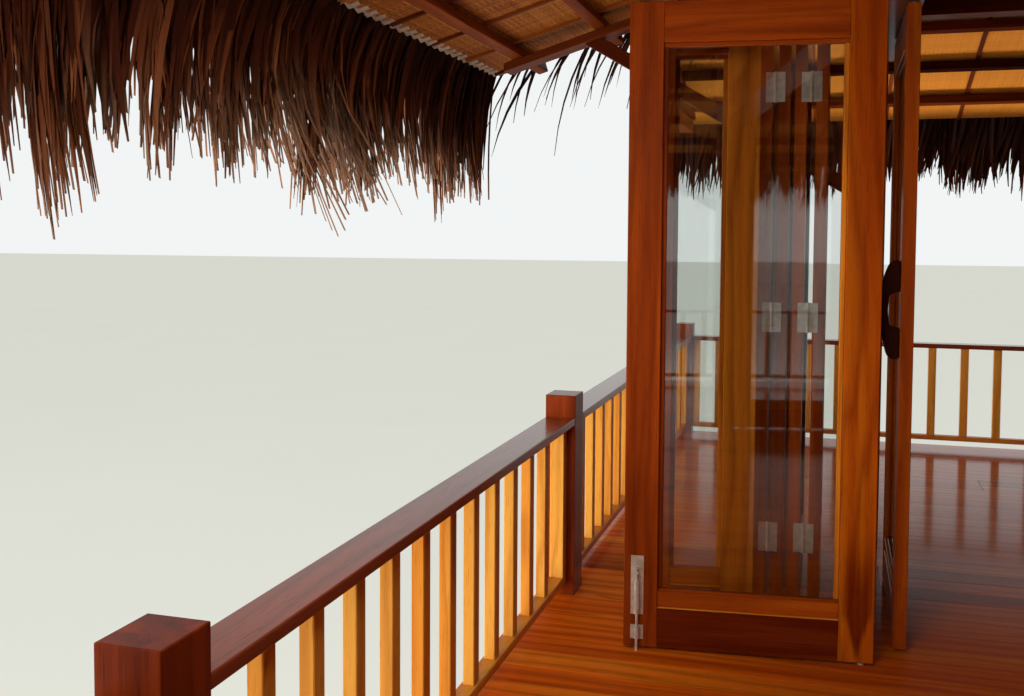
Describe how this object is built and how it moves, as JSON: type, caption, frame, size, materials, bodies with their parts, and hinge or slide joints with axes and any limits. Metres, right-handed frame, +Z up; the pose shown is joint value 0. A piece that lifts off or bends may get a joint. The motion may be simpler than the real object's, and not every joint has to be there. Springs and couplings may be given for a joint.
{
  "type": "stilt house",
  "caption": "Timber river house on stilts with a railed deck, folding glass doors and low thatched roofs with palm fringes.",
  "frame": {"origin": "on the ground, in the middle of the house", "axes": "+Z up, +Y along the river, the long way of the house, +X from the river side to the land side"},
  "size_m": [8.348, 10.68, 5.2368],
  "materials": {
    "stilt_timber": "rough",
    "dark_teak": "varnished",
    "red_teak": "varnished",
    "orange_teak": "varnished",
    "honey_teak": "varnished",
    "floor_boards": "varnished",
    "bamboo_mat": "woven",
    "palm_thatch": "dry leaves",
    "palm_fringe": "dry leaves",
    "glass": "clear",
    "steel": "satin"
  },
  "bodies": {
    "root": {"stilts": "stilt_timber", "stilt_braces": "stilt_timber", "bearers": "dark_teak", "joists": "dark_teak", "edge_boards": "red_teak", "deck_floor": "floor_boards", "newels": "red_teak", "handrails": "dark_teak", "river_railing": "honey_teak", "land_railing": "honey_teak", "far_railing": "honey_teak", "near_railing": "honey_teak", "room_posts": "orange_teak", "door_heads": "orange_teak", "transom_studs": "orange_teak", "transom_panels": "bamboo_mat", "wall_plates": "dark_teak", "tie_beams": "dark_teak", "gable_panels": "bamboo_mat", "king_posts": "dark_teak", "ridge_beam": "dark_teak", "main_rafters": "dark_teak", "knee_braces": "dark_teak", "main_purlins": "red_teak", "main_thatch": "palm_thatch", "ridge_cap": "palm_thatch", "terrace_posts": "red_teak", "terrace_level_beams": "dark_teak", "terrace_head_beams": "dark_teak", "terrace_rafters": "dark_teak", "terrace_purlins": "red_teak", "terrace_thatch": "palm_thatch", "ceiling_battens": "dark_teak", "woven_ceilings": "bamboo_mat", "palm_fringes": "palm_fringe", "bolt_leaf": "orange_teak", "handle_leaf": "orange_teak", "stacked_leaves": "orange_teak", "far_leaves": "orange_teak", "closed_leaves": "orange_teak", "door_panes": "glass", "leaf_pins": "steel", "tower_bolt": "steel", "pull_handle": "dark_teak"}
  },
  "joints": []
}
